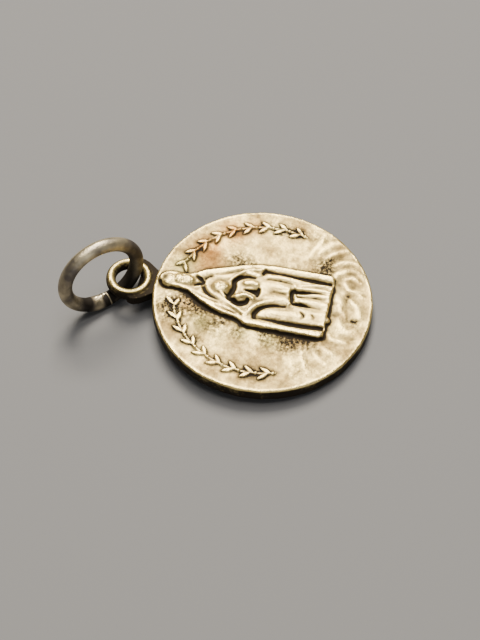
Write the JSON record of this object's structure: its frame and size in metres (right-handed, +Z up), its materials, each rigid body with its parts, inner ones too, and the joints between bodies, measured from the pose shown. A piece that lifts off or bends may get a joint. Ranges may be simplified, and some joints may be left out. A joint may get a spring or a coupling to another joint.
{
  "type": "religious medal pendant",
  "caption": "Small round cast silver medal with a robed mother and child in relief, a loop eye and a wire jump ring, lying face up.",
  "frame": {"origin": "on the surface that the pendant lies on, under the middle of its box", "axes": "+Z up from the surface, +Y from the disc towards its loop, +X to the right as the face is read"},
  "size_m": [0.018, 0.025, 0.0077],
  "materials": {
    "medal_silver": "cast silver, worn bright on the high points, dark brown tarnish in the recesses",
    "ring_silver": "drawn silver wire, evenly tarnished dark grey brown, with a soldered joint"
  },
  "bodies": {
    "root": {"medal": "medal_silver", "jump_ring": "ring_silver"}
  },
  "joints": []
}
